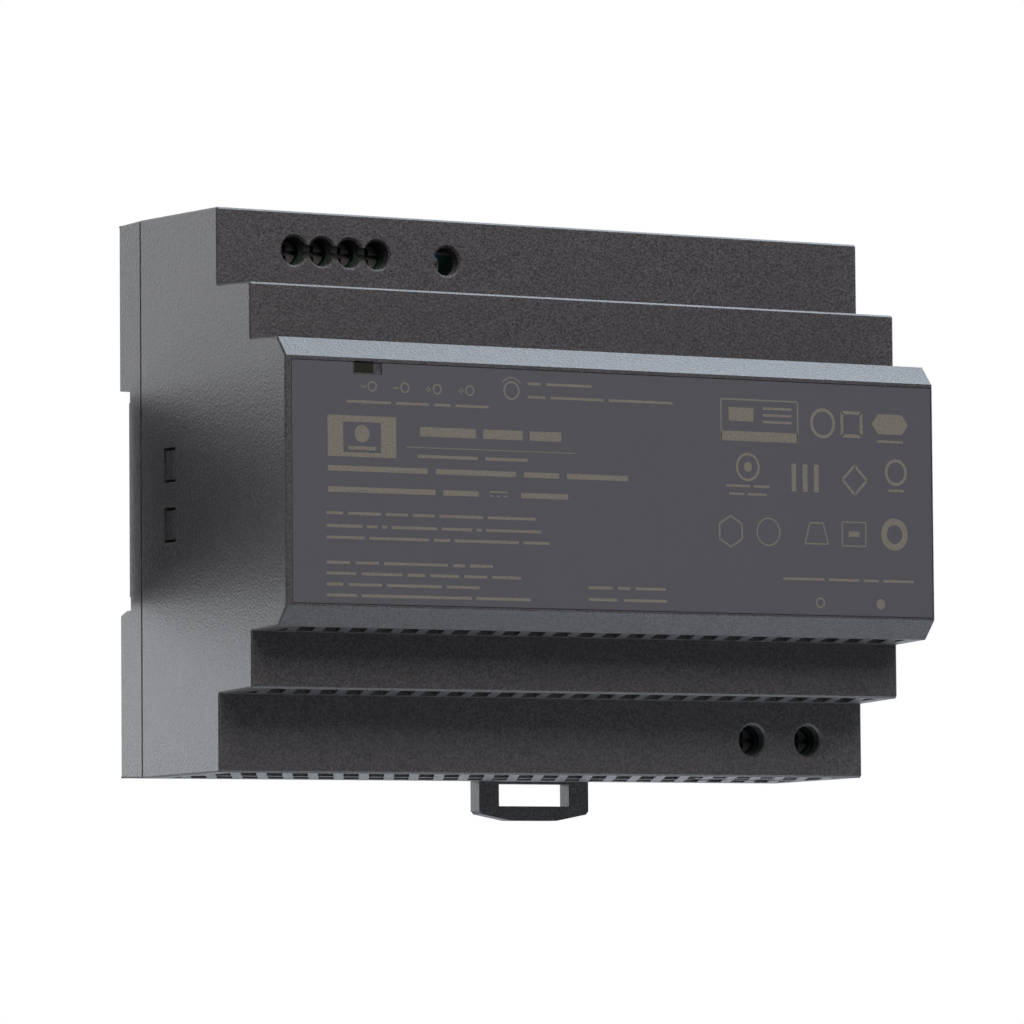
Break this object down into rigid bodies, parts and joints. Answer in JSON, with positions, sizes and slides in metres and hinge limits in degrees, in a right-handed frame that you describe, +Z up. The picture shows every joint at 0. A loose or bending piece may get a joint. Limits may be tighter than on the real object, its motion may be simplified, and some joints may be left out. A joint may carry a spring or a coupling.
{
  "type": "din rail power supply",
  "caption": "Rail-mount power supply in a stepped, vented plastic housing with screw terminals at top and bottom, a trimmer, an indicator lamp and a spring latch for the rail.",
  "frame": {"origin": "middle of the rail seat, on the plane that the front face of the rail bears on", "axes": "+Z up, -Y out of the front label face, +X to the right as seen from the front"},
  "size_m": [0.1226, 0.0545, 0.0964],
  "materials": {
    "housing_plastic": "fine spark-eroded texture",
    "latch_plastic": "fine texture, slightly glossier than the housing",
    "spring_steel": "drawn wire",
    "label_film": "printed film, satin",
    "light_pipe_clear": "clear moulded acrylic",
    "lamp_green": "diffused lens",
    "board_green": "solder mask over glass fibre",
    "zinc_steel": "zinc plated",
    "fibre_sheet": "pressed fibre sheet",
    "terminal_green": "moulded polyamide",
    "tin_plate": "tin plated",
    "trimmer_blue": "moulded",
    "trimmer_white": "moulded",
    "capacitor_black": "shrink sleeve",
    "ferrite_grey": "sintered ferrite",
    "bobbin_ivory": "moulded",
    "winding_tape": "polyester tape",
    "enamel_copper": "enamelled wire",
    "film_yellow": "moulded box",
    "heatsink_aluminium": "extruded",
    "package_black": "moulded epoxy",
    "fuse_glass": "clear tube",
    "thermistor_green": "dipped coating",
    "ceramic_blue": "dipped coating",
    "powder_core": "painted powder core"
  },
  "bodies": {
    "housing": {"front_cover": "housing_plastic", "rear_base": "housing_plastic", "latch_spring": "spring_steel", "front_label": "label_film", "light_pipe": "light_pipe_clear", "indicator_lamp": "lamp_green", "circuit_board": "board_green", "board_screws": "zinc_steel", "insulation_sheet": "fibre_sheet", "dc_terminal_block": "terminal_green", "dc_contacts": "tin_plate", "ac_terminal_block": "terminal_green", "ac_contacts": "tin_plate", "trimmer_body": "trimmer_blue", "bulk_capacitor_1": "capacitor_black", "bulk_capacitor_2": "capacitor_black", "transformer_core": "ferrite_grey", "transformer_bobbin": "bobbin_ivory", "transformer_winding": "winding_tape", "line_choke_core": "ferrite_grey", "line_choke_base": "bobbin_ivory", "line_choke_windings": "enamel_copper", "line_filter_capacitor": "film_yellow", "heatsink_primary": "heatsink_aluminium", "heatsink_secondary": "heatsink_aluminium", "switching_transistor": "package_black", "output_rectifiers": "package_black", "bridge_rectifier": "package_black", "heatsink_screws": "zinc_steel", "fuse_tube": "fuse_glass", "fuse_end_caps": "tin_plate", "inrush_thermistor": "thermistor_green", "surge_varistor": "ceramic_blue", "isolation_capacitor": "ceramic_blue", "controller_chip": "package_black", "optocoupler": "package_black", "output_choke_core": "powder_core", "output_choke_winding": "enamel_copper", "output_capacitors": "capacitor_black"},
    "latch": {"rail_latch": "latch_plastic"},
    "trimmer": {"trimmer_rotor": "trimmer_white"},
    "dc_screw_1": {"dc_screw_1": "zinc_steel"},
    "dc_screw_2": {"dc_screw_2": "zinc_steel"},
    "dc_screw_3": {"dc_screw_3": "zinc_steel"},
    "dc_screw_4": {"dc_screw_4": "zinc_steel"},
    "dc_cage_1": {"dc_cage_1": "tin_plate"},
    "dc_cage_2": {"dc_cage_2": "tin_plate"},
    "dc_cage_3": {"dc_cage_3": "tin_plate"},
    "dc_cage_4": {"dc_cage_4": "tin_plate"},
    "ac_screw_1": {"ac_screw_1": "zinc_steel"},
    "ac_screw_2": {"ac_screw_2": "zinc_steel"},
    "ac_cage_1": {"ac_cage_1": "tin_plate"},
    "ac_cage_2": {"ac_cage_2": "tin_plate"}
  },
  "joints": [
    {"name": "latch_slide", "type": "slide", "parent": "housing", "child": "latch", "axis": [0, 0, -1], "range_m": [0, 0.003], "stiffness_N_per_m": 1000, "springref_m": -0.002, "deforming": ["latch_spring"]},
    {"name": "trimmer_turn", "type": "hinge", "parent": "housing", "child": "trimmer", "pos_m": [-0.01883, -0.022, 0.038], "axis": [0, 1, 0], "range_deg": [-130, 130]},
    {"name": "dc_screw_turn_1", "type": "hinge", "parent": "housing", "child": "dc_screw_1", "pos_m": [-0.04712, -0.024, 0.0384], "axis": [0, 1, 0], "range_deg": [0, 2160]},
    {"name": "dc_cage_slide_1", "type": "slide", "parent": "housing", "child": "dc_cage_1", "axis": [0, -1, 0], "range_m": [0, 0.003]},
    {"name": "dc_screw_turn_2", "type": "hinge", "parent": "housing", "child": "dc_screw_2", "pos_m": [-0.04204, -0.024, 0.0384], "axis": [0, 1, 0], "range_deg": [0, 2160]},
    {"name": "dc_cage_slide_2", "type": "slide", "parent": "housing", "child": "dc_cage_2", "axis": [0, -1, 0], "range_m": [0, 0.003]},
    {"name": "dc_screw_turn_3", "type": "hinge", "parent": "housing", "child": "dc_screw_3", "pos_m": [-0.03696, -0.024, 0.0384], "axis": [0, 1, 0], "range_deg": [0, 2160]},
    {"name": "dc_cage_slide_3", "type": "slide", "parent": "housing", "child": "dc_cage_3", "axis": [0, -1, 0], "range_m": [0, 0.003]},
    {"name": "dc_screw_turn_4", "type": "hinge", "parent": "housing", "child": "dc_screw_4", "pos_m": [-0.03188, -0.024, 0.0384], "axis": [0, 1, 0], "range_deg": [0, 2160]},
    {"name": "dc_cage_slide_4", "type": "slide", "parent": "housing", "child": "dc_cage_4", "axis": [0, -1, 0], "range_m": [0, 0.003]},
    {"name": "ac_screw_turn_1", "type": "hinge", "parent": "housing", "child": "ac_screw_1", "pos_m": [0.0394, -0.024, -0.0386], "axis": [0, 1, 0], "range_deg": [0, 2160]},
    {"name": "ac_cage_slide_1", "type": "slide", "parent": "housing", "child": "ac_cage_1", "axis": [0, -1, 0], "range_m": [0, 0.003]},
    {"name": "ac_screw_turn_2", "type": "hinge", "parent": "housing", "child": "ac_screw_2", "pos_m": [0.0504, -0.024, -0.0386], "axis": [0, 1, 0], "range_deg": [0, 2160]},
    {"name": "ac_cage_slide_2", "type": "slide", "parent": "housing", "child": "ac_cage_2", "axis": [0, -1, 0], "range_m": [0, 0.003]}
  ],
  "couplings": [
    {"joint": "dc_screw_turn_1", "follows": "dc_cage_slide_1", "rad_per_m": 12566},
    {"joint": "dc_screw_turn_2", "follows": "dc_cage_slide_2", "rad_per_m": 12566},
    {"joint": "dc_screw_turn_3", "follows": "dc_cage_slide_3", "rad_per_m": 12566},
    {"joint": "dc_screw_turn_4", "follows": "dc_cage_slide_4", "rad_per_m": 12566},
    {"joint": "ac_screw_turn_1", "follows": "ac_cage_slide_1", "rad_per_m": 12566},
    {"joint": "ac_screw_turn_2", "follows": "ac_cage_slide_2", "rad_per_m": 12566}
  ]
}
